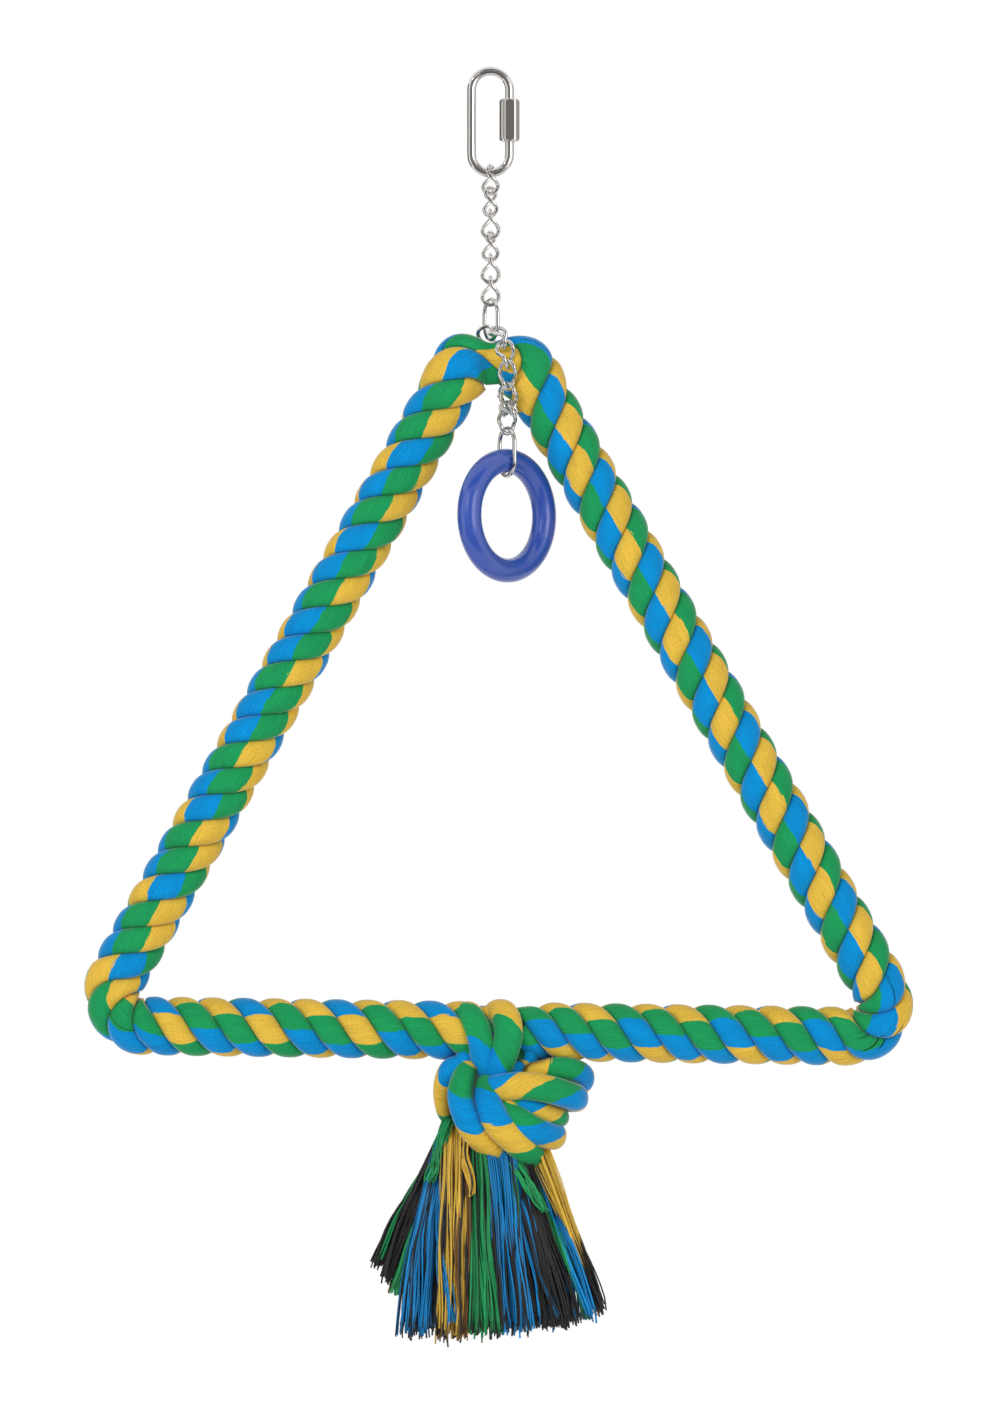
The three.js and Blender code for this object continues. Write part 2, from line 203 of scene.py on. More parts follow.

# Mesh fineness of the hard pieces, and of curves through given points
WIRE_SIDES = 16
LINK_RINGS = 128
ROD_SIDES = 28
ROD_STEP = 0.7
RING_SIDES = 40
RING_RINGS = 144
SLEEVE_SIDES = 144
SPLINE_SAMPLES = 24
SAME_PLACE = 1e-6

# Camera and stage, in metres
PHOTO_HEIGHT = 1424
PHOTO_MM_PER_PIXEL = 0.3636
VIEW_CENTRE = Vector((0.00345, 0.0, -0.2314))
VIEW_DISTANCE = 2.2
SENSOR = 36.0
FLOOR_HEIGHT = -0.62
FLOOR_HALF = 1.5
FLOOR_GLOW = 0.45
FLOOR_FADE = (0.35, 1.1)
WORLD_LIGHT = 0.5
LAMP_SIZE = 0.9
LAMPS = {
    "key": ((-0.8, -1.5, 0.5), 13.0),
    "fill": ((1.1, -1.3, 0.0), 5.0),
}
CARD_TINT = (1, 0.94, 0.89, 1)
UPRIGHT_CARDS = {
    "room": ((-0.85, -0.85), (0.38, -1.13), -0.7, 0.55, 0.2),
    "left": ((-0.9, -0.1), (-0.75, 0.75), -0.5, 0.3, 0.12),
    "right": ((0.9, 0.05), (0.75, 0.75), -0.5, 0.3, 0.4),
}
LEVEL_CARDS = {"above": 0.7, "below": -0.6}
LEVEL_CARD_OUTLINE = [(-0.8, -1.1), (0.8, -1.1), (0.8, -0.45), (-0.8, -0.45)]
LEVEL_CARD_GLOW = 0.02


# Small tools
def srgb(red, green, blue):
    """A colour of 0 to 255 levels as linear light."""
    level = np.array([red, green, blue]) / 255.0
    linear = np.where(level <= 0.04045, level / 12.92, ((level + 0.055) / 1.055) ** 2.4)
    return (float(linear[0]), float(linear[1]), float(linear[2]), 1.0)


def unit(vectors):
    return vectors / np.linalg.norm(vectors, axis=-1, keepdims=True)


def square_to(vectors, axes):
    """The part of each vector that is square to its axis, at length one."""
    return unit(vectors - axes * np.sum(vectors * axes, axis=-1, keepdims=True))


def smooth_step(value):
    share = np.clip(value, 0.0, 1.0)
    return share * share * (3.0 - 2.0 * share)


def turned(angle):
    return np.array([math.cos(angle), math.sin(angle), 0.0])


def about_axis(vector, axis, angle):
    """A vector turned about an axis of length one."""
    cosine = math.cos(angle)
    along = axis * np.dot(axis, vector) * (1.0 - cosine)
    return vector * cosine + np.cross(axis, vector) * math.sin(angle) + along


def arc_lengths(points):
    steps = np.linalg.norm(np.diff(points, axis=0), axis=1)
    return np.concatenate([[0.0], np.cumsum(steps)])


def smooth_path(points, step):
    """A Catmull-Rom curve through given points, sampled at an even step."""
    points = np.asarray(points, float)
    padded = np.vstack([2 * points[0] - points[1], points, 2 * points[-1] - points[-2]])
    share = np.linspace(0.0, 1.0, SPLINE_SAMPLES, endpoint=False)[:, None]
    pieces = []
    for i in range(len(points) - 1):
        before, start, end, after = padded[i:i + 4]
        first = 0.5 * (end - before)
        last = 0.5 * (after - start)
        cubic = 2 * start - 2 * end + first + last
        square = -3 * start + 3 * end - 2 * first - last
        pieces.append(((cubic * share + square) * share + first) * share + start)
    pieces.append(points[-1:])
    dense = np.vstack(pieces)
    along = arc_lengths(dense)
    even = np.linspace(0.0, along[-1], max(4, int(along[-1] / step)))
    return np.column_stack([np.interp(even, along, dense[:, axis]) for axis in range(3)])


def tangents(path, closed=False):
    if closed:
        return unit(np.roll(path, -1, axis=0) - np.roll(path, 1, axis=0))
    return unit(np.gradient(path, axis=0))


# Meshes
def tube_faces(rings, sides, closed):
    """The quads of a swept tube, and its two end caps unless it closes on itself."""
    ring = np.arange(rings if closed else rings - 1)[:, None]
    side = np.arange(sides)[None, :]
    next_ring = (ring + 1) % rings
    next_side = (side + 1) % sides
    corners = [ring * sides + side, ring * sides + next_side]
    corners += [next_ring * sides + next_side, next_ring * sides + side]
    quads = np.stack(np.broadcast_arrays(*corners), axis=-1).reshape(-1, 4)
    if closed:
        return quads, []
    return quads, [np.arange(sides)[::-1], (rings - 1) * sides + np.arange(sides)]


def build_piece(name, points, faces, body, material, nodes=(), values=None):
    """Makes a mesh piece that rides on a body and stands for the given frame nodes."""
    quads, caps = faces
    corners = np.concatenate([quads.ravel(), *caps]).astype(np.int32)
    sizes = np.array([4] * len(quads) + [len(cap) for cap in caps], np.int32)
    mesh = bpy.data.meshes.new(name)
    mesh.vertices.add(len(points))
    mesh.vertices.foreach_set("co", (np.asarray(points, float) * MM).astype(np.float32).ravel())
    mesh.loops.add(len(corners))
    mesh.loops.foreach_set("vertex_index", corners)
    mesh.polygons.add(len(sizes))
    starts = np.concatenate([[0], np.cumsum(sizes)[:-1]]).astype(np.int32)
    mesh.polygons.foreach_set("loop_start", starts)
    mesh.polygons.foreach_set("use_smooth", np.ones(len(sizes), bool))
    mesh.update(calc_edges=True)
    for label, data in (values or {}).items():
        data = np.asarray(data, np.float32)
        kind, field = ("FLOAT", "value") if data.ndim == 1 else ("FLOAT_VECTOR", "vector")
        if data.ndim == 2 and data.shape[1] == 4:
            kind, field = "FLOAT_COLOR", "color"
        mesh.attributes.new(label, kind, "POINT").data.foreach_set(field, data.ravel())
    mesh.materials.append(material)
    piece = bpy.data.objects.new(name, mesh)
    bpy.context.scene.collection.objects.link(piece)
    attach(piece, body)
    if nodes:
        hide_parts(*nodes)
    return piece


def join_tubes(tubes):
    """Several tubes as one set of points and faces. Each tube is (points, (quads, caps))."""
    points = []
    quads = []
    caps = []
    offset = 0
    for own_points, (own_quads, own_caps) in tubes:
        points.append(own_points)
        quads.append(own_quads + offset)
        caps += [cap + offset for cap in own_caps]
        offset += len(own_points)
    return np.vstack(points), (np.vstack(quads), caps)


def sweep(path, outward, half_depth, half_width, sides, closed=False, roundness=2.0):
    """A tube along a path. Its depth lies along `outward` and its width square to both."""
    ahead = tangents(path, closed)
    outward = square_to(outward, ahead)
    across = np.cross(outward, ahead)
    angle = 2 * np.pi * np.arange(sides) / sides
    deep = np.sign(np.cos(angle)) * np.abs(np.cos(angle)) ** (2 / roundness)
    wide = np.sign(np.sin(angle)) * np.abs(np.sin(angle)) ** (2 / roundness)
    depths = np.broadcast_to(np.asarray(half_depth, float), (len(path),))
    widths = np.broadcast_to(np.asarray(half_width, float), (len(path),))
    points = path[:, None, :] + outward[:, None, :] * (depths[:, None] * deep)[:, :, None]
    points = points + across[:, None, :] * (widths[:, None] * wide)[:, :, None]
    return points.reshape(-1, 3), widths[:, None] * wide


# Node materials
def new_material(name):
    made = bpy.data.materials.new(name)
    made.use_nodes = True
    return made, made.node_tree, made.node_tree.nodes["Principled BSDF"]


def add_node(tree, kind, links=None, **settings):
    """Adds a node. `links` gives its inputs by number or name, as sockets or as plain values."""
    node = tree.nodes.new(kind)
    for key, value in settings.items():
        setattr(node, key, value)
    for key, value in (links or {}).items():
        if isinstance(value, bpy.types.NodeSocket):
            tree.links.new(value, node.inputs[key])
        else:
            node.inputs[key].default_value = value
    return node


def maths(tree, operation, first, second=0.0):
    return add_node(tree, "ShaderNodeMath", {0: first, 1: second}, operation=operation).outputs[0]


def spread(tree, value, low, high):
    """Maps 0 to 1 onto low to high."""
    return add_node(tree, "ShaderNodeMapRange", {"Value": value, "To Min": low, "To Max": high}).outputs[0]


def scaled(tree, vector, scale):
    links = {0: vector, 1: scale}
    return add_node(tree, "ShaderNodeVectorMath", links, operation="MULTIPLY").outputs[0]


def noise(tree, vector, scale, detail=2.0):
    links = {"Vector": vector, "Scale": scale, "Detail": detail}
    return add_node(tree, "ShaderNodeTexNoise", links).outputs["Fac"]


def tinted(tree, colour, factor):
    links = {0: colour, "Scale": factor}
    return add_node(tree, "ShaderNodeVectorMath", links, operation="SCALE").outputs[0]


def attribute(tree, name, output):
    return add_node(tree, "ShaderNodeAttribute", attribute_name=name).outputs[output]


def bump(tree, height, strength, distance):
    links = {"Height": height, "Strength": strength, "Distance": distance}
    return add_node(tree, "ShaderNodeBump", links).outputs["Normal"]


YELLOW = srgb(230, 188, 70)
GREEN = srgb(28, 154, 88)
BLUE = srgb(0, 142, 212)
BLACK = srgb(34, 32, 34)
# Painted shade: a darkened copy of the yellow dye, given to some yarns to stand for yellow in shade
SHADED_YELLOW = srgb(120, 84, 40)


def cotton_material():
    """Cotton yarns laid side by side: three dyed groups with frayed borders and fine combed lines, with
    painted shade in the grooves and in slits that open where the rope bends.
    """
    made, tree, shader = new_material("rope_cotton")
    tone = attribute(tree, "tone", "Fac")
    grain = attribute(tree, "grain", "Vector")
    crease_shade = attribute(tree, "crease_shade", "Fac")
    strain = attribute(tree, "strain", "Fac")
    fray = noise(tree, scaled(tree, grain, (1.6, 0.16, 1.0)), 1.0, 1.0)
    ragged = maths(tree, "ADD", tone, spread(tree, fray, -0.09, 0.09))
    share = maths(tree, "FRACT", maths(tree, "DIVIDE", ragged, TONES))
    dye = add_node(tree, "ShaderNodeValToRGB", {"Fac": share})
    dye.color_ramp.interpolation = "CONSTANT"
    dye.color_ramp.elements[0].color = YELLOW
    dye.color_ramp.elements[1].position = 1 / TONES
    dye.color_ramp.elements[1].color = GREEN
    dye.color_ramp.elements.new(2 / TONES).color = BLUE
    lines = noise(tree, scaled(tree, grain, (2.6, 0.12, 3.0)), 1.0, 2.0)
    fuzz = noise(tree, scaled(tree, grain, (3.6, 1.3, 5.0)), 1.0, 2.0)
    patches = noise(tree, scaled(tree, grain, (0.16, 0.05, 3.0)), 1.0, 1.0)
    # Painted shade: thin dark slits where stretched yarns part at bends stand for the shade inside the
    # opening, which the mesh does not have
    slits = noise(tree, scaled(tree, grain, (0.55, 0.05, 7.0)), 1.0, 0.0)
    open_slit = add_node(tree, "ShaderNodeMapRange", {"Value": slits, "From Min": 0.715, "From Max": 0.73})
    slit_shade = maths(tree, "MULTIPLY", open_slit.outputs[0], strain)
    colour = tinted(tree, dye.outputs["Color"], spread(tree, lines, 0.66, 1.3))
    colour = tinted(tree, colour, spread(tree, fuzz, 0.62, 1.42))
    colour = tinted(tree, colour, spread(tree, patches, 0.86, 1.12))
    # Painted shade in the rope's grooves and on the knot strands' inner sides, multiplied into the colour
    colour = tinted(tree, colour, spread(tree, crease_shade, 1.0, 0.2))
    colour = tinted(tree, colour, spread(tree, slit_shade, 1.0, 0.1))
    tree.links.new(colour, shader.inputs["Base Color"])
    tree.links.new(spread(tree, lines, 0.8, 0.98), shader.inputs["Roughness"])
    tree.links.new(bump(tree, maths(tree, "ADD", lines, fuzz), 0.3, 0.0003), shader.inputs["Normal"])
    shader.inputs["Specular IOR Level"].default_value = 0.15
    shader.inputs["Sheen Weight"].default_value = 0.8
    shader.inputs["Sheen Roughness"].default_value = 0.3
    return made


def yarn_material():
    """Loose cotton yarns, each with its own dye and a fine ply."""
    made, tree, shader = new_material("tassel_yarn")
    dye = attribute(tree, "dye", "Color")
    grain = attribute(tree, "grain", "Vector")
    ply = noise(tree, scaled(tree, grain, (1.4, 1.1, 1.0)), 1.0, 2.0)
    colour = tinted(tree, dye, spread(tree, ply, 0.55, 1.45))
    tree.links.new(colour, shader.inputs["Base Color"])
    tree.links.new(spread(tree, ply, 0.4, 0.65), shader.inputs["Roughness"])
    tree.links.new(bump(tree, ply, 0.4, 0.0002), shader.inputs["Normal"])
    shader.inputs["Specular IOR Level"].default_value = 0.45
    return made


def steel_material(name, colour, roughness):
    """Nickel-plated steel with an uneven polish."""
    made, tree, shader = new_material(name)
    place = add_node(tree, "ShaderNodeTexCoord").outputs["Object"]
    cloud = noise(tree, place, 260.0, 2.0)
    tree.links.new(spread(tree, cloud, roughness * 0.7, roughness * 1.3), shader.inputs["Roughness"])
    base = add_node(tree, "ShaderNodeValToRGB", {"Fac": cloud})
    base.color_ramp.elements[0].position = 0.3
    base.color_ramp.elements[0].color = tuple(0.94 * c for c in colour[:3]) + (1.0,)
    base.color_ramp.elements[1].position = 0.7
    base.color_ramp.elements[1].color = colour
    tree.links.new(base.outputs["Color"], shader.inputs["Base Color"])
    shader.inputs["Metallic"].default_value = 1.0
    return made


def plastic_material():
    """Moulded blue plastic, a little cloudy, with a hard gloss."""
    made, tree, shader = new_material("ring_plastic")
    place = add_node(tree, "ShaderNodeTexCoord").outputs["Object"]
    cloud = noise(tree, place, 70.0, 2.0)
    base = add_node(tree, "ShaderNodeValToRGB", {"Fac": cloud})
    base.color_ramp.elements[0].position = 0.3
    base.color_ramp.elements[0].color = srgb(50, 80, 172)
    base.color_ramp.elements[1].position = 0.7
    base.color_ramp.elements[1].color = srgb(56, 88, 180)
    tree.links.new(base.outputs["Color"], shader.inputs["Base Color"])
    flow = noise(tree, scaled(tree, place, (120.0, 120.0, 50.0)), 1.0, 1.0)
    tree.links.new(spread(tree, flow, 0.18, 0.26), shader.inputs["Roughness"])
    tree.links.new(bump(tree, flow, 0.012, 0.0004), shader.inputs["Normal"])
    shader.inputs["Subsurface Weight"].default_value = 0.25
    shader.inputs["Subsurface Radius"].default_value = (0.3, 0.3, 1.0)
    shader.inputs["Subsurface Scale"].default_value = 0.003
    shader.inputs["Coat Weight"].default_value = 0.5
    shader.inputs["Coat Roughness"].default_value = 0.08
    return made


COTTON = cotton_material()
YARN = yarn_material()
BRIGHT_STEEL = steel_material("bright_steel", (0.74, 0.725, 0.71, 1.0), 0.07)
CHAIN_STEEL = steel_material("chain_steel", (0.74, 0.72, 0.7, 1.0), 0.07)
CORE_STEEL = steel_material("core_steel", (0.5, 0.51, 0.53, 1.0), 0.35)
PLASTIC = plastic_material()


# Quick link
def rounded_path(places, bends, step):
    """Straight runs joined by round bends, as points about one step apart."""
    runs = []
    start = places[0]
    for i, radius in enumerate(bends):
        corner = places[i + 1]
        arriving = unit(corner - places[i])
        leaving = unit(places[i + 2] - corner)
        angle = math.acos(float(np.clip(np.dot(arriving, leaving), -1.0, 1.0)))
        reach = radius * math.tan(angle / 2)
        enter = corner - arriving * reach
        inward = unit(leaving - arriving * np.dot(leaving, arriving))
        centre = enter + inward * radius
        count = max(2, int(np.linalg.norm(enter - start) / step))
        runs.append(start + (enter - start) * np.linspace(0, 1, count, endpoint=False)[:, None])
        count = max(4, int(radius * angle / step))
        turn = np.linspace(0, angle, count, endpoint=False)[:, None]
        runs.append(centre - inward * radius * np.cos(turn) + arriving * radius * np.sin(turn))
        start = corner + leaving * reach
    count = max(2, int(np.linalg.norm(places[-1] - start) / step))
    runs.append(start + (places[-1] - start) * np.linspace(0, 1, count)[:, None])
    path = np.vstack(runs)
    keep = np.concatenate([[True], np.linalg.norm(np.diff(path, axis=0), axis=1) > SAME_PLACE])
    return path[keep]


def quick_link():
    bend = (QUICK_LINK_WIDTH - QUICK_LINK_ROD) / 2
    top = QUICK_LINK_ROD / 2
    bottom = 2 * QUICK_LINK_ROD - QUICK_LINK_HEIGHT - QUICK_LINK_ROD / 2
    corners = [(bend, STUB_END), (bend, top), (-bend, top)]
    corners += [(-bend, bottom), (bend, bottom), (bend, THREAD_END)]
    places = [np.array([x, 0.0, z]) for x, z in corners]
    path = rounded_path(places, [bend] * 4, ROD_STEP)
    outward = path - UP * np.clip(path[:, 2:], bottom + bend, top - bend)
    points, _ = sweep(path, outward, QUICK_LINK_ROD / 2, QUICK_LINK_ROD / 2, ROD_SIDES)
    faces = tube_faces(len(path), ROD_SIDES, False)
    build_piece(
        "quick_link_rod", points, faces, "quick_link", BRIGHT_STEEL, ["quick_link_body"]
    )
    sleeve(bend)


def sleeve(centre_x):
    """Hexagonal sleeve with softened edges and turned-down ends, bored right through."""
    corner = SLEEVE_FLATS / math.sqrt(3)
    flat = SLEEVE_FLATS / 2
    angle = 2 * np.pi * np.arange(SLEEVE_SIDES) / SLEEVE_SIDES
    from_flat = np.abs(angle % (np.pi / 3) - np.pi / 6)
    hexagon = flat / np.cos(from_flat)
    hexagon = np.minimum(hexagon, corner - SLEEVE_CORNER_CUT)
    chamfer = corner - flat
    rows = []
    for depth in SLEEVE_ROW_DEPTHS:
        lip = 0.0 if depth else SLEEVE_LIP
        cone = flat - SLEEVE_CONE_INSET + depth * SLEEVE_CONE_SLOPE - lip
        rows.append((depth, np.minimum(hexagon, cone)))
    bore = np.full(SLEEVE_SIDES, SLEEVE_BORE)
    rings = rows + [(SLEEVE_LENGTH - depth, radius) for depth, radius in reversed(rows)]
    rings += [(SLEEVE_LENGTH, bore + chamfer), (SLEEVE_LENGTH - chamfer, bore)]
    rings += [(chamfer, bore), (0.0, bore + chamfer)]
    points = []
    for depth, radius in rings:
        height = np.full(SLEEVE_SIDES, SLEEVE_TOP - depth)
        points.append(np.column_stack([
            centre_x + radius * np.cos(angle + SLEEVE_TURN),
            radius * np.sin(angle + SLEEVE_TURN),
            height,
        ]))
    points = np.vstack(points)
    faces = tube_faces(len(rings), SLEEVE_SIDES, True)
    nodes = ["quick_link_sleeve"]
    piece = build_piece("hex_sleeve", points, faces, "sleeve", BRIGHT_STEEL, nodes)
    piece.data.set_sharp_from_angle(angle=SLEEVE_SHARP_ANGLE)


# Wire links
def wire_loop(length, width, wire, twist):
    """Centreline of a link: a long oval whose two ends are turned against each other."""
    bend = (width - wire) / 2
    straight = (length - wire) / 2 - bend
    arc = np.pi * bend
    run = 2 * straight
    along = np.arange(LINK_RINGS) / LINK_RINGS * 2 * (arc + run)
    half = np.where(along < arc + run, 1.0, -1.0)
    along = np.where(half < 0, along - arc - run, along)
    turn = np.minimum(along, arc) / bend
    across = half * bend * np.cos(turn)
    climb = half * (straight + bend * np.sin(turn) - np.maximum(0.0, along - arc))
    reach = np.clip(climb / (straight + bend / 3), -1.0, 1.0)
    angle = -twist / 2 * np.sin(np.pi / 2 * reach)
    path = np.column_stack([across * np.cos(angle), across * np.sin(angle), climb])
    outward = path - UP * np.clip(path[:, 2:], -straight, straight)
    return sweep(path, outward, wire / 2, wire / 2, WIRE_SIDES, True)[0]


LINK_LENGTH = LINK_PITCH + 2 * LINK_WIRE + LINK_SLACK
TWIST_LINK = wire_loop(LINK_LENGTH, LINK_WIDTH, LINK_WIRE - LINK_EASE, LINK_TWIST)


def place_link(node, body, loop, centre, axis, side):
    """Stands a link with its length along `axis` and the width of its waist along `side`."""
    axis = unit(axis)
    side = square_to(side, axis)
    turn = np.column_stack([side, np.cross(axis, side), axis])
    points = loop @ turn.T + centre
    faces = tube_faces(LINK_RINGS, WIRE_SIDES, True)
    build_piece(node + "_wire", points, faces, body, CHAIN_STEEL, [node])


HANGER_FORWARD = turned(HANGER_YAW - math.pi / 2)


def upper_chain():
    for i, turn in enumerate(CHAIN_TURNS):
        centre = UP * (CHAIN_TOP - CAD_LINK_REACH - i * LINK_PITCH)
        side = turned(math.radians(turn))
        place_link(f"chain_link_{i + 1}", f"chain_{i + 1}", TWIST_LINK, centre, UP, side)
    oval = wire_loop(HANGER_LENGTH, OVAL_WIDTH, OVAL_WIRE - LINK_EASE, 0.0)
    place_link("hanger_link", "hanger", oval, HANGER_CENTRE, UP, HANGER_FORWARD)


def hanger_hook(side):
    sideways = HANGER_FORWARD * side * HANGER_BEND * math.sin(HANGER_HOOK_ANGLE)
    return HANGER_CENTRE + sideways - UP * HANGER_DROP


def across_sling_link(axis, angle):
    """The direction to the right across a sling link, turned about the link's length."""
    return about_axis(square_to(RIGHT, axis), axis, angle)


def sling_and_ring_chain():
    places = [hanger_hook(1), *SLING_HOOKS, hanger_hook(-1)]
    shared_axis = unit(SLING_HOOKS[DROP_LINK_AT - 2] - SLING_HOOKS[DROP_LINK_AT - 1])
    shared_turn = math.radians(SLING_TURNS[DROP_LINK_AT - 1]) + LINK_TWIST / 2
    shift = across_sling_link(shared_axis, shared_turn) * DROP_LINK_SHIFT
    for i, turn in enumerate(SLING_TURNS):
        start = places[i] + (shift if i == DROP_LINK_AT else 0.0)
        end = places[i + 1]
        axis = unit(start - end)
        centre = (start + end) / 2
        if i == 0:
            centre = end + axis * (CAD_LINK_REACH - HOOK_HALF)
        if i == len(SLING_TURNS) - 1:
            centre = start - axis * (CAD_LINK_REACH - HOOK_HALF)
        side = across_sling_link(axis, math.radians(turn))
        place_link(f"sling_link_{i + 1}", "rope_frame", TWIST_LINK, centre, axis, side)
    drop_hook = SLING_HOOKS[DROP_LINK_AT - 1] - shift + UP * DROP_LINK_LIFT
    drop_centre = drop_hook + UP * (HOOK_HALF - CAD_LINK_REACH)
    place_link("drop_link", "drop", TWIST_LINK, drop_centre, UP, RIGHT)
    oval = wire_loop(RING_LINK_LENGTH, OVAL_WIDTH, OVAL_WIRE, 0.0)
    place_link("ring_link", "ring_hanger", oval, RING_LINK_CENTRE, UP, turned(RING_LINK_TURN))


def toy_ring():
    angle = 2 * np.pi * np.arange(RING_RINGS) / RING_RINGS
    outward = np.outer(np.cos(angle), turned(RING_YAW)) + np.outer(np.sin(angle), UP)
    path = RING_CENTRE + RING_RADIUS * outward
    points, _ = sweep(path, outward, RING_TUBE, RING_TUBE, RING_SIDES, True)
    faces = tube_faces(RING_RINGS, RING_SIDES, True)
    build_piece("play_ring", points, faces, "toy_ring", PLASTIC, ["ring"])


# Rope: three strands laid round the triangle's route
def on_bottom_bar(x):
    share = (x - LEFT_CORNER[0]) / (RIGHT_CORNER[0] - LEFT_CORNER[0])
    return LEFT_CORNER + (RIGHT_CORNER - LEFT_CORNER) * share


class Route:
    """The rope's centreline, read at any length along it."""

    def __init__(self):
        ends = [on_bottom_bar(ROPE_LEFT_END), on_bottom_bar(ROPE_RIGHT_END)]
        places = [ends[0], LEFT_CORNER, LEFT_SHOULDER, RIGHT_SHOULDER, RIGHT_CORNER, ends[1]]
        bends = [CORNER_BEND, SHOULDER_BEND, SHOULDER_BEND, CORNER_BEND]
        self.path = rounded_path(places, bends, ROUTE_STEP)
        self.along = arc_lengths(self.path)
        self.length = self.along[-1]
        ahead = tangents(self.path)
        self.heading = np.unwrap(np.arctan2(ahead[:, 2], ahead[:, 0]))
        width = int(STRAIN_SPREAD / np.mean(np.diff(self.along)))
        bending = np.abs(np.gradient(self.heading, self.along)) * CORNER_BEND
        self.bending = np.convolve(bending, np.ones(width) / width, mode="same")

    def place(self, along):
        return np.stack([np.interp(along, self.along, self.path[:, axis]) for axis in range(3)], axis=-1)

    def outward(self, along):
        heading = np.interp(along, self.along, self.heading)
        return np.stack([-np.sin(heading), np.zeros_like(heading), np.cos(heading)], axis=-1)

    def at(self, point):
        """Length along the route where it comes closest to a point."""
        return self.along[np.argmin(np.linalg.norm(self.path - point, axis=1))]

    def thickness(self, along):
        """Share of the full thickness: less where the ends enter the knot."""
        ends = np.minimum(along, self.length - along)
        return END_SCALE + (1 - END_SCALE) * smooth_step(ends / END_TAPER)

    def pinch(self, along):
        """Shares of the full thickness: pinched and dented at the sling, and swollen beside it."""
        places = self.place(along)
        distance = np.linalg.norm(places - PINCH_CENTRE, axis=-1)
        swell = SWELL * np.exp(-((distance - SWELL_AT) / SWELL_REACH) ** 2)
        pinch = PINCH_DEPTH * np.exp(-(distance / PINCH_REACH) ** 2)
        from_dent = np.linalg.norm(places - DENT_CENTRE, axis=-1)
        dent = DENT_DEPTH * np.exp(-(from_dent / DENT_REACH) ** 2)
        return 1 - pinch - dent, 1 + swell

    def off_centre(self, along, outside):
        """Reach from the centreline: shaped by the sling outside a bend, short of its centre inside."""
        pinch, swell = self.pinch(along)
        curl = outside * self.strain(along) / CORNER_BEND
        return outside * swell * np.where(outside > 0, pinch, (1 + curl ** 4) ** -0.25)

    def slip(self, along):
        """How far the lay has slipped, without kinks."""
        slips = np.interp(along / self.length, LAY_SHARES, LAY_SLIPS)
        half = int(LAY_SMOOTHING / 2 / (along[1] - along[0]))
        window = np.ones(2 * half + 1) / (2 * half + 1)
        return np.convolve(np.pad(slips, half, mode="edge"), window, mode="valid")

    def strain(self, along):
        return np.interp(along, self.along, self.bending)


def rope_strand(route, index):
    """One strand in the rope's own straight coordinates, then bent along the route."""
    first = route.at(on_bottom_bar(CROSSING_LEFT))
    last = route.at(on_bottom_bar(CROSSING_RIGHT))
    lay = (last - first) / round((last - first) / USUAL_LAY)
    turn_rate = -2 * np.pi / lay
    along = np.linspace(0.0, route.length, int(route.length / ROPE_STEP))
    turn = turn_rate * (along - route.slip(along) - first) + (1 - index) * 2 * np.pi / 3
    outward = np.column_stack([np.zeros_like(turn), np.sin(turn), np.cos(turn)])
    centre = outward * STRAND_HELIX
    centre[:, 0] = along
    lean = np.gradient(turn, along) * STRAND_HELIX
    half_width = STRAND_HALF_GIRTH / np.sqrt(1 + lean ** 2)
    points, _ = sweep(
        centre, outward, STRAND_HALF_DEPTH, half_width, STRAND_SIDES, roundness=STRAND_ROUNDNESS
    )
    bent_along = np.clip(points[:, 0], 0.0, route.length)
    thick = route.thickness(bent_along)
    outside = route.off_centre(bent_along, points[:, 1] * thick)
    bent = route.place(bent_along) + route.outward(bent_along) * outside[:, None]
    bent = bent + FRONT * (points[:, 2] * thick * route.pinch(bent_along)[0])[:, None]
    own_turn = np.repeat(turn, STRAND_SIDES)
    aside = np.arctan2(points[:, 1], points[:, 2]) - own_turn
    angle = own_turn + (aside + np.pi) % (2 * np.pi) - np.pi
    radius = np.hypot(points[:, 1], points[:, 2])
    front_tone = np.interp(bent_along / route.length, LAY_SHARES, STRAND_TONES[index])
    outer = STRAND_HELIX + STRAND_HALF_DEPTH
    stretched = np.clip(STRAIN_BASE + points[:, 1] / outer, 0.0, 1.0)
    values = {
        "tone": front_tone + angle * TONES_PER_LAY / (2 * np.pi) + TONE_LIFT * TONES,
        "grain": np.column_stack([angle * outer, points[:, 0], np.full(len(points), index * GRAIN_APART)]),
        # painted shade: darker where the strand lies deep in a groove
        "crease_shade": smooth_step((CREASE_SHADE_FROM * outer - radius) / (CREASE_SHADE_DEPTH * outer)),
        "strain": np.clip(route.strain(bent_along) * stretched, 0.0, 1.0),
    }
    faces = tube_faces(len(along), STRAND_SIDES, False)
    nodes = ["rope"] if index == 0 else []
    name = f"rope_strand_{index + 1}"
    build_piece(name, bent, faces, "rope_frame", COTTON, nodes, values)


def rope():
    route = Route()
    for index in range(len(STRAND_TONES)):
        rope_strand(route, index)
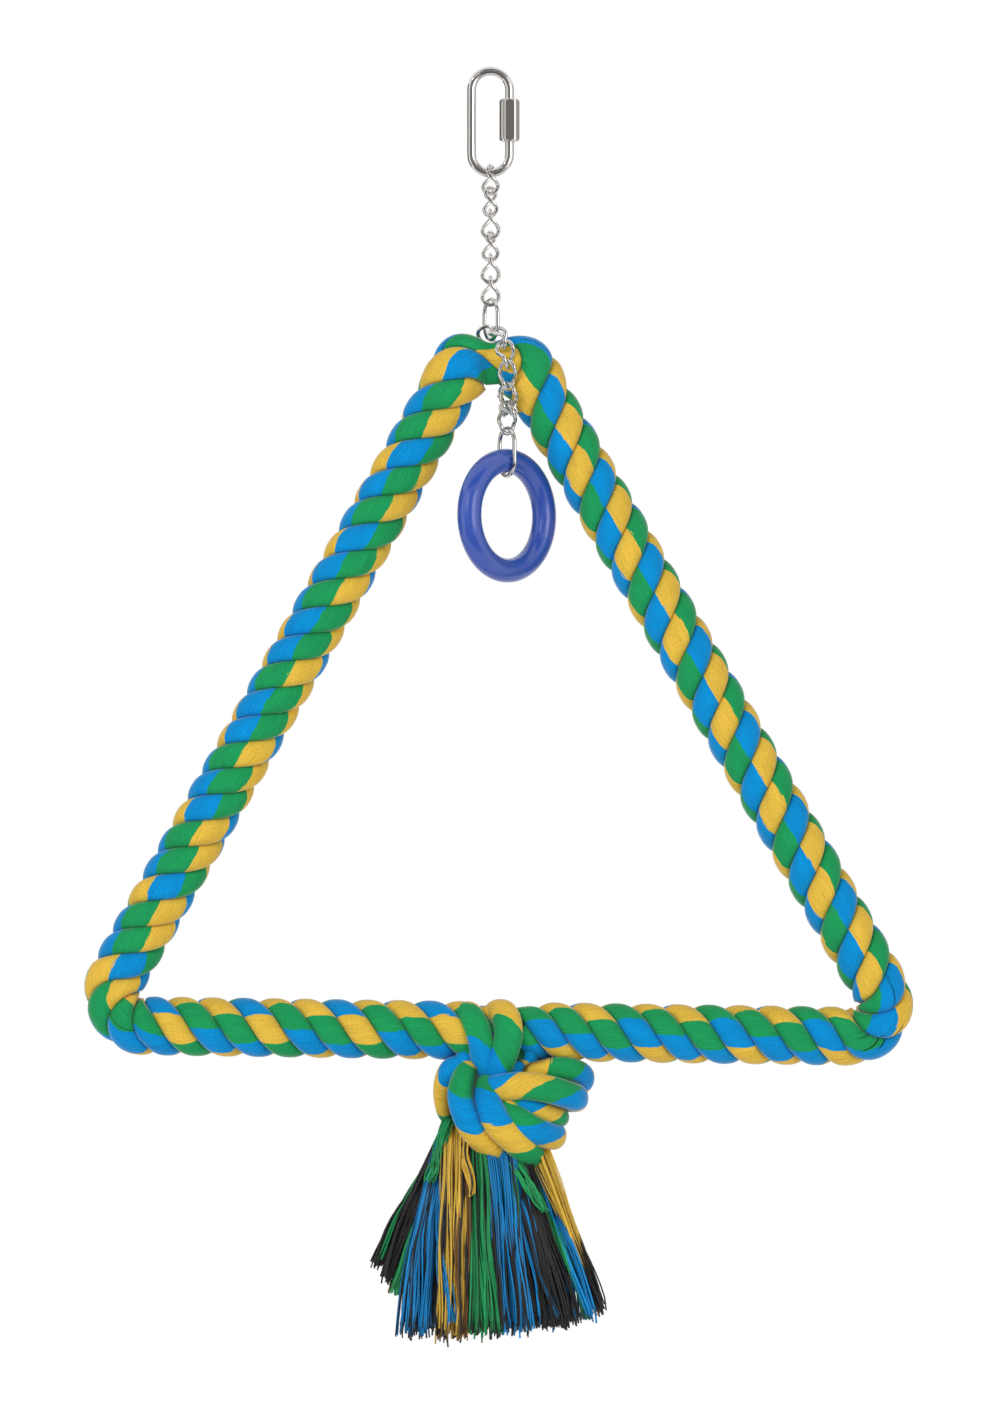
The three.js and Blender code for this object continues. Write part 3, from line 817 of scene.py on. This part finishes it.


# Knot: each visible strand by its half width, its first tone, the slant and length of its dyed sectors,
# and given points, front negative in y.
KNOT_STRANDS = {
    "bar_left": (4.6, -0.8, SLANT, SECTOR, [
        (-8, 9, -354), (-10.5, 8, -346), (-10, 4, -342), (-8, -3, -340.8), (-5.6, -7.8, -344.2),
        (-3.6, -10, -350), (-2.9, -9, -356), (-2.2, -5, -362), (0, 1, -367)]),
    "bar_right": (5.2, -1.5, SLANT, SECTOR, [
        (6, 9, -356), (3, 8, -346), (2.5, 4, -341.6), (4.2, -3, -340.6), (6.2, -8, -343.8),
        (6.4, -10.4, -349), (5, -10.2, -354.5), (2.6, -7.5, -361), (0.6, -1, -368)]),
    "pocket": (4.5, 1.6, SLANT, SECTOR, [(15, 2, -345), (15, -1, -350), (13.5, -2, -356), (12, -3, -363)]),
    "upper_lobe": (4.2, 0.1, SLANT, SECTOR, [
        (10, -2, -363), (16.5, -6, -362.2), (24.3, -7, -360.6), (30.8, -3.5, -361.6),
        (34, 3, -364.5), (31, 10, -368), (22, 12, -369)]),
    "middle_lobe": (5.0, 2.3, 2 * SLANT, SECTOR, [
        (-1, -6, -369), (2.9, -12, -367.4), (11.7, -14, -366.4), (21, -13, -367.8),
        (29.2, -7, -370.6), (30.6, 2, -372), (24, 10, -372), (13, 12, -369)]),
    "lower_lobe": (3.5, 0.5, 0.9, 8.0, [
        (0, -6, -370), (5, -10.5, -372), (13.8, -11, -374), (21, -8, -376.8),
        (25, -2, -378.4), (24.5, 6, -379), (18, 11, -378)]),
    "wrap_1": (4.4, 1.6, SLANT, SECTOR, [
        (-6, 0, -352), (-10, -6, -359), (-14.6, -4.5, -361.6), (-16.6, -1.5, -366.6),
        (-16.6, 2, -372.4), (-14.5, 5.5, -377.9), (-8, 9, -381)]),
    "wrap_2": (4.8, 0.75, SLANT, SECTOR, [
        (-7, -4, -358.5), (-9.6, -10.5, -364), (-10.9, -14.5, -369.5), (-9.4, -16, -376.2),
        (-5.4, -14, -383.7), (1.2, -8.5, -390), (6, -2, -391.6)]),
    "wrap_3": (5.2, 1.25, SLANT, SECTOR, [
        (-1.4, -4, -364.5), (-1.8, -11, -369), (-0.4, -15.4, -374), (3.3, -16.5, -380.6),
        (9.2, -13.5, -386.6), (14, -7.5, -391.6), (17, -1, -393)]),
    "wrap_4": (4.9, 0.75, 2 * SLANT, SECTOR, [
        (3.5, -8, -371.5), (6.2, -12.5, -376.2), (11.7, -14, -380), (18, -10.5, -383.6),
        (22.6, -4, -385.4), (23.4, 4, -384.6)]),
}
KNOT_BACK = ["wrap_2", "wrap_3", "wrap_4"]
KNOT_CORE_HALF_WIDTH = 10.0
KNOT_CORE_TONE = 1.4
KNOT_CORE_LINE = [(4, 0, -350), (5, 0, -358), (5, 0, -372), (5, 0, -386)]
KNOT_CORE_SHIFT = np.array([0.0, -0.01, 0.0])


def knot_strand(name, half_width, first_tone, slant, sector, path, nodes=()):
    on_bar = smooth_step((path[:, 2] - KNOT_BAR_LOW) / KNOT_BAR_BLEND)
    core = np.column_stack([
        KNOT_AXIS_X + (path[:, 0] - KNOT_AXIS_X) * on_bar,
        np.zeros(len(path)),
        np.clip(path[:, 2], KNOT_CORE_LOW, KNOT_CORE_HIGH),
    ])
    outward = path - core
    along = arc_lengths(path)
    ends = np.minimum(along, along[-1] - along)
    swell = KNOT_END_SCALE + (1 - KNOT_END_SCALE) * smooth_step(ends / KNOT_END_TAPER)
    depth = KNOT_FLATNESS * half_width * swell
    points, aside = sweep(path, outward, depth, half_width * swell, KNOT_SIDES, roundness=KNOT_ROUNDNESS)
    aside = aside.ravel()
    length = np.repeat(along, KNOT_SIDES)
    side = 2 * np.pi * np.arange(KNOT_SIDES) / KNOT_SIDES
    facing = np.tile(np.cos(side), len(path))
    slanted = length - slant * aside
    apart = np.full(len(points), half_width * KNOT_GRAIN_APART)
    values = {
        "tone": first_tone + slanted / sector + KNOT_TONE_LIFT * TONES,
        "grain": np.column_stack([slanted, aside + slant * length, apart]),
        # painted shade: darker on the side that faces the knot's core
        "crease_shade": smooth_step((KNOT_SHADE_FROM - facing) / KNOT_SHADE_DEPTH),
        "strain": np.zeros(len(points)),
    }
    faces = tube_faces(len(path), KNOT_SIDES, False)
    build_piece("knot_" + name, points, faces, "rope_frame", COTTON, nodes, values)


def knot():
    for name, (half_width, tone, slant, sector, places) in KNOT_STRANDS.items():
        path = smooth_path(places, KNOT_STEP)
        knot_strand(name, half_width, tone, slant, sector, path, ["knot"] if name == "wrap_3" else [])
        if name in KNOT_BACK:
            turned_path = path * np.array([-1.0, -1.0, 1.0]) + np.array([2 * KNOT_AXIS_X, 0.0, 0.0])
            knot_strand("back_" + name, half_width, tone + 1.0, slant, sector, turned_path)
    core_path = smooth_path(KNOT_CORE_LINE, KNOT_STEP) + KNOT_CORE_SHIFT
    knot_strand("core", KNOT_CORE_HALF_WIDTH, KNOT_CORE_TONE, SLANT, SECTOR, core_path)


# Tassel: locks of loose yarn. Each has its line from the knot to the hem, its half width at both ends,
# its number of clumps, its dyes, and the share and length of the yarns' black tips.
LOCKS = {
    "braid": ([(-14.9, -2, -380), (-22, -6, -395), (-32, -8, -414), (-39.5, -8, -431)],
              (1.0, 2.8), 11, [BLACK, BLACK, BLACK, GREEN, BLUE], (0.6, 0.1)),
    "black_left": ([(-15, -4, -381), (-23, -10, -398), (-31, -12, -417), (-37, -11, -436)],
                   (1.2, 2.4), 11, [BLACK, BLACK, BLACK, GREEN], (0.4, 0.1)),
    "short_green": ([(-16, -5, -382), (-22, -8, -398), (-28, -13, -420), (-34, -14, -440)],
                    (1.0, 3.0), 12, [GREEN, GREEN, GREEN, GREEN, YELLOW], (0.1, 0.05)),
    "blue_left": ([(-16, -8, -384), (-20, -13, -398), (-24.5, -17, -425), (-26.5, -18, -454)],
                  (2.0, 6.2), 26, [BLUE, BLUE, BLUE, BLUE, BLACK], (0.5, 0.06)),
    "blue_strand": ([(-17, -10, -393), (-18.5, -17, -410), (-18, -21.5, -432), (-15.3, -21.5, -451)],
                    (0.6, 1.0), 3, [BLUE], (0.0, 0.0)),
    "yellow": ([(-12.6, -8, -381), (-12.8, -15, -395), (-13.2, -20, -425), (-13.8, -21, -455)],
               (4.0, 5.2), 30, [YELLOW, YELLOW, YELLOW, SHADED_YELLOW, BLACK], (0.5, 0.05)),
    "yellow_tip": ([(-10.5, -10, -383), (-9, -17, -393), (-7.2, -19.5, -405)],
                   (1.8, 0.3), 5, [YELLOW], (0.0, 0.0)),
    "green": ([(-5.5, -9, -386), (-4.6, -16, -400), (-3.6, -21, -428), (-2.6, -22, -454)],
              (2.4, 5.4), 28, [GREEN, GREEN, GREEN, GREEN, BLACK], (0.5, 0.05)),
    "blue": ([(2.4, -10, -388), (4.0, -16, -402), (6.5, -21, -428), (8.6, -21, -453)],
             (6.2, 5.6), 32, [BLUE, BLUE, BLUE, BLUE, BLUE, GREEN], (0.5, 0.55)),
    "green_top": ([(-15.4, -8, -379), (-18.4, -13, -388), (-22, -16, -401)],
                  (1.3, 0.5), 6, [GREEN], (0.3, 0.1)),
    "black": ([(10, -9, -391), (13, -15, -408), (18, -20, -430), (22.5, -19, -451)],
              (3.6, 9.0), 46, [BLACK, BLACK, BLACK, BLACK, BLACK, BLACK, BLUE], (0.2, 0.05)),
    "blue_over": ([(6.5, -12, -394), (12, -18, -412), (19, -22.5, -432), (24.5, -21.5, -449)],
                  (0.7, 1.0), 4, [BLUE], (0.3, 0.05)),
    "green_tuft": ([(9, -12, -394), (14, -17, -402), (19.8, -18, -411)],
                   (2.2, 0.3), 7, [GREEN], (0.0, 0.0)),
    "yellow_right": ([(17, -6, -389), (23, -11, -404), (29.5, -12, -420), (39, -10, -446)],
                     (3.2, 1.0), 12, [YELLOW], (1.0, 0.4)),
    "blue_right": ([(15, -4, -392), (22, -9, -412), (29.5, -15, -430), (35.5, -14, -449)],
                   (1.5, 3.4), 14, [BLUE, BLUE, BLUE, BLUE, BLUE, GREEN, BLACK], (0.3, 0.05)),
    "black_right": ([(17, -3, -390), (25, -9, -412), (32.5, -10, -432), (38.2, -8, -447)],
                    (2.0, 2.2), 14, [BLACK, BLACK, BLACK, SHADED_YELLOW], (0.3, 0.05)),
    "inner": ([(4, 0, -380), (2, 0, -405), (0, 0, -430), (0, 0, -452)],
              (9.0, 25.0), 80, [BLACK, BLACK, BLACK, BLUE, GREEN], (0.3, 0.05)),
}
LOCK_DEPTH = 2.8
INNER_DEPTH = 11.0

# The locks behind: their dyes in turn, and the ring they stand on at each height as its centre in x,
# half width, half depth and height
BACK_DYES = [[BLUE, BLUE, BLACK], [GREEN, GREEN, BLACK], [YELLOW, YELLOW, SHADED_YELLOW], [BLACK, BLACK, BLUE]]
BACK_RINGS = [(4, 12, 7, -383), (2, 18, 15, -402), (0, 25, 20, -430), (0, 27, 21, -452)]


def yarn_values(share, dye, shade, tip, rng):
    """Dye and grain of one yarn, ring by ring."""
    colours = np.tile(np.array(dye[:3]) * shade, (YARN_RINGS, 1))
    if tip > 0:
        dark = smooth_step((share - 1 + tip) / TIP_BLEND)[:, None]
        colours = colours * (1 - dark) + np.array(BLACK[:3]) * dark
    colours = np.column_stack([colours, np.ones(YARN_RINGS)])
    grain = np.column_stack([
        np.repeat(share * GRAIN_LENGTH, YARN_SIDES),
        np.tile(np.arange(YARN_SIDES), YARN_RINGS) * 1.0,
        np.full(YARN_RINGS * YARN_SIDES, rng.uniform(0, 500)),
    ])
    return np.repeat(colours, YARN_SIDES, axis=0), grain


def sway(share, amount, rng):
    """A wavering that grows from nothing at the knot."""
    wave = np.sin(share * rng.uniform(3, 9) + rng.uniform(0, 6.3)) * amount
    return wave * np.minimum(1.0, share * 2.0)


def tassel_lock(name, line, widths, clumps, dyes, tips, depth, rng, nodes=()):
    """A lock of yarns in clumps that stay together, thinner at the knot than at the hem."""
    middle = smooth_path(line, LOCK_STEP)
    along = arc_lengths(middle)
    faces = tube_faces(YARN_RINGS, YARN_SIDES, False)
    fronts = np.tile(FRONT, (YARN_RINGS, 1))
    tubes = []
    colours = []
    grains = []
    for _ in range(clumps):
        place = rng.uniform(-1, 1, 2)
        dye = dyes[rng.integers(len(dyes))]
        clump_shade = rng.uniform(0.8, 1.1)
        share = np.linspace(0.0, 1.0, YARN_RINGS)
        clump_sway = [sway(share, amount, rng) for amount in CLUMP_SWAYS]
        for _ in range(YARNS_PER_CLUMP):
            reach = along[-1] * share * (1 + rng.normal(0, LENGTH_SPREAD))
            path = np.column_stack([np.interp(reach, along, middle[:, axis]) for axis in range(3)])
            beyond = np.maximum(0.0, reach - along[-1])
            path[:, 2] -= beyond
            width = widths[0] + (widths[1] - widths[0]) * share
            aside = place[0] * width + clump_sway[0] + sway(share, YARN_SWAY, rng)
            path[:, 0] += aside + rng.normal(0, YARN_FAN) * share
            path[:, 0] += rng.normal(0, YARN_SCATTER_WIDE)
            behind = place[1] * depth * (0.5 + 0.5 * share) + clump_sway[1]
            path[:, 1] += behind + rng.normal(0, YARN_SCATTER_DEEP)
            radius = YARN_RADIUS * rng.uniform(0.75, 1.25)
            points, _ = sweep(path, fronts, radius, radius, YARN_SIDES)
            tip = tips[1] * rng.uniform(0.6, 1.2) if rng.uniform() < tips[0] else 0.0
            own_dye = BLACK if rng.uniform() < STRAY_SHARE else dye
            shade = clump_shade * rng.uniform(0.6, 1.2)
            colour, grain = yarn_values(share, own_dye, shade, tip, rng)
            tubes.append((points, faces))
            colours.append(colour)
            grains.append(grain)
    points, joined = join_tubes(tubes)
    values = {"dye": np.vstack(colours), "grain": np.vstack(grains)}
    build_piece("tassel_" + name, points, joined, "rope_frame", YARN, nodes, values)


def tassel():
    rng = np.random.default_rng(TASSEL_SEED)
    for name, (line, widths, clumps, dyes, tips) in LOCKS.items():
        depth = INNER_DEPTH if name == "inner" else LOCK_DEPTH
        nodes = ["tassel"] if name == "inner" else []
        tassel_lock(name, line, widths, clumps, dyes, tips, depth, rng, nodes)
    for i in range(BACK_LOCKS):
        angle = np.pi * (i + 0.5) / BACK_LOCKS
        wide = math.cos(angle)
        deep = math.sin(angle)
        line = [(x + across * wide, BACK_SHIFT + back * deep, z) for x, across, back, z in BACK_RINGS]
        dyes = BACK_DYES[i % len(BACK_DYES)]
        tassel_lock(
            f"back_{i + 1}", line, BACK_LOCK_WIDTHS, BACK_LOCK_CLUMPS, dyes, BACK_LOCK_TIPS, LOCK_DEPTH, rng
        )


# Stage
def camera():
    data = bpy.data.cameras.new("camera")
    data.sensor_width = SENSOR
    half_height = PHOTO_HEIGHT * PHOTO_MM_PER_PIXEL * MM / 2
    data.lens = SENSOR * VIEW_DISTANCE / (2 * half_height)
    made = bpy.data.objects.new("camera", data)
    made.location = VIEW_CENTRE + Vector((0, -VIEW_DISTANCE, 0))
    made.rotation_euler = (math.pi / 2, 0, 0)
    bpy.context.scene.collection.objects.link(made)
    bpy.context.scene.camera = made


def white_world():
    """White to the camera and to reflections, softer as light."""
    world = bpy.data.worlds.new("studio")
    world.use_nodes = True
    bpy.context.scene.world = world
    tree = world.node_tree
    path = add_node(tree, "ShaderNodeLightPath").outputs
    seen = maths(tree, "MAXIMUM", path["Is Camera Ray"], path["Is Glossy Ray"])
    seen = maths(tree, "MAXIMUM", seen, path["Is Transmission Ray"])
    tree.links.new(spread(tree, seen, WORLD_LIGHT, 1.0), tree.nodes["Background"].inputs["Strength"])
    tree.nodes["Background"].inputs["Color"].default_value = (1, 1, 1, 1)


def area_lamp(name, place, power):
    data = bpy.data.lights.new(name, "AREA")
    data.size = LAMP_SIZE
    data.energy = power
    lamp = bpy.data.objects.new(name, data)
    lamp.location = place
    lamp.rotation_euler = (VIEW_CENTRE - Vector(place)).to_track_quat("-Z", "Y").to_euler()
    lamp.visible_camera = False
    bpy.context.scene.collection.objects.link(lamp)


def flat_sheet(name, corners, material):
    mesh = bpy.data.meshes.new(name)
    mesh.from_pydata(corners, [], [(0, 1, 2, 3)])
    mesh.materials.append(material)
    sheet = bpy.data.objects.new(name, mesh)
    bpy.context.scene.collection.objects.link(sheet)
    return sheet


def floor():
    """Pale floor that keeps the shadow, fades to white at its rim and is open from below."""
    made, tree, shader = new_material("pale_floor")
    shader.inputs["Base Color"].default_value = (0.86, 0.86, 0.86, 1)
    shader.inputs["Roughness"].default_value = 0.9
    place = add_node(tree, "ShaderNodeTexCoord").outputs["Object"]
    distance = add_node(tree, "ShaderNodeVectorMath", {0: place}, operation="LENGTH").outputs["Value"]
    fade = {"Value": distance, "From Min": FLOOR_FADE[0], "From Max": FLOOR_FADE[1], "To Min": FLOOR_GLOW}
    rim = add_node(tree, "ShaderNodeMapRange", fade)
    white = add_node(tree, "ShaderNodeEmission", {"Color": (1, 1, 1, 1), "Strength": 1.0}).outputs[0]
    fading = add_node(tree, "ShaderNodeMixShader", {0: rim.outputs[0], 1: shader.outputs[0], 2: white})
    clear = add_node(tree, "ShaderNodeBsdfTransparent").outputs[0]
    below = add_node(tree, "ShaderNodeNewGeometry").outputs["Backfacing"]
    sides = add_node(tree, "ShaderNodeMixShader", {0: below, 1: fading.outputs[0], 2: clear})
    tree.links.new(sides.outputs[0], tree.nodes["Material Output"].inputs["Surface"])
    corners = [(x * FLOOR_HALF, y * FLOOR_HALF, 0) for x, y in [(-1, -1), (1, -1), (1, 1), (-1, 1)]]
    flat_sheet("floor", corners, made).location.z = FLOOR_HEIGHT


def cards():
    """Dark cards that only shiny surfaces see: the dark room behind the camera, above and beside."""
    for name, (start, end, low, high, level) in UPRIGHT_CARDS.items():
        corners = [(*start, low), (*end, low), (*end, high), (*start, high)]
        glossy_card(name, corners, level)
    for name, height in LEVEL_CARDS.items():
        corners = [(x, y, height) for x, y in LEVEL_CARD_OUTLINE]
        glossy_card(name, corners, LEVEL_CARD_GLOW)


def glossy_card(name, corners, level):
    made, tree, shader = new_material("card_" + name)
    glow = add_node(tree, "ShaderNodeEmission", {"Color": CARD_TINT, "Strength": level})
    tree.links.new(glow.outputs[0], tree.nodes["Material Output"].inputs["Surface"])
    card = flat_sheet("card_" + name, corners, made)
    card.visible_camera = False
    card.visible_diffuse = False
    card.visible_shadow = False
    card.visible_transmission = False


def stage():
    camera()
    white_world()
    for name, (place, power) in LAMPS.items():
        area_lamp(name, place, power)
    floor()
    cards()
    bpy.context.scene.view_settings.view_transform = "Standard"


stage()
rope()
knot()
tassel()
quick_link()
upper_chain()
sling_and_ring_chain()
toy_ring()
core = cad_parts["core_wire"]
core.data.materials.clear()
core.data.materials.append(CORE_STEEL)
